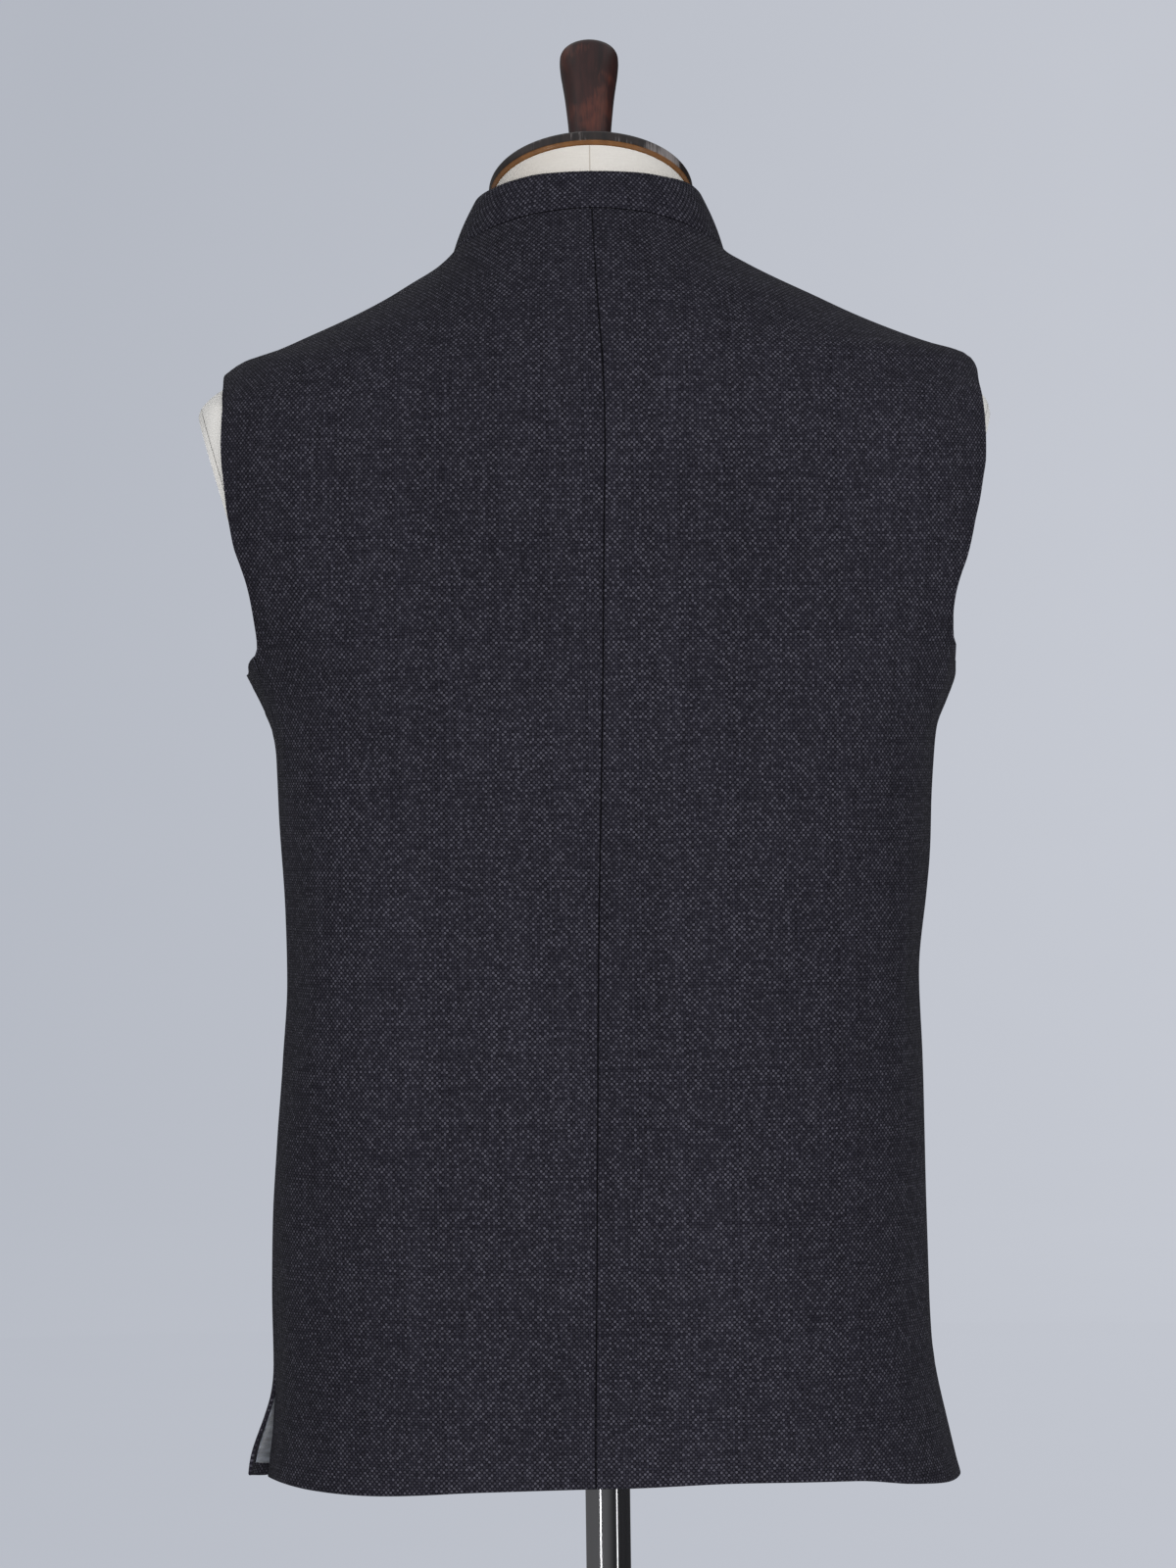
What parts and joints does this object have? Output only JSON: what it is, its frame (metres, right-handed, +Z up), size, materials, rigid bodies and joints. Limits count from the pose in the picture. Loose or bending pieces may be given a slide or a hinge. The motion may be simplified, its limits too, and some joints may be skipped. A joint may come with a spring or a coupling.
{
  "type": "waistcoat on a dress form",
  "caption": "Sleeveless hip-length waistcoat with a stand collar, centre-back seam and side vents, on a limbless dress form with a neck cap, pole and round base.",
  "frame": {"origin": "centre of the base plate's flat underside, on the floor under the pole's axis", "axes": "+Z up along the pole, the waistcoat's back faces +Y and its fronts face -Y, the wearer's left is +X"},
  "size_m": [0.4495, 0.38, 1.4532],
  "materials": {
    "waistcoat_cloth": "dark navy-charcoal wool, woven in a fine two-tone check of light and dark threads, matt",
    "lining_satin": "silver-grey satin, with a soft sheen",
    "button": "dark horn-like resin, half matt",
    "form_cover": "cream linen cover, matt",
    "neck_wood": "near-black stained wood with a brown lower rim, worn",
    "handle_wood": "dark red-brown stained and turned wood, half matt",
    "pole_steel": "polished steel tube",
    "base_steel": "brushed steel"
  },
  "bodies": {
    "root": {"back_left": "waistcoat_cloth", "back_right": "waistcoat_cloth", "front_left": "waistcoat_cloth", "front_right": "waistcoat_cloth", "collar": "waistcoat_cloth", "vent_lining": "lining_satin", "button_1": "button", "button_2": "button", "button_3": "button", "button_4": "button", "button_5": "button", "form_body": "form_cover", "arm_plate_left": "form_cover", "arm_plate_right": "form_cover", "neck_cap": "neck_wood", "neck_handle": "handle_wood", "pole": "pole_steel", "pole_hub": "base_steel", "base_plate": "base_steel"}
  },
  "joints": []
}
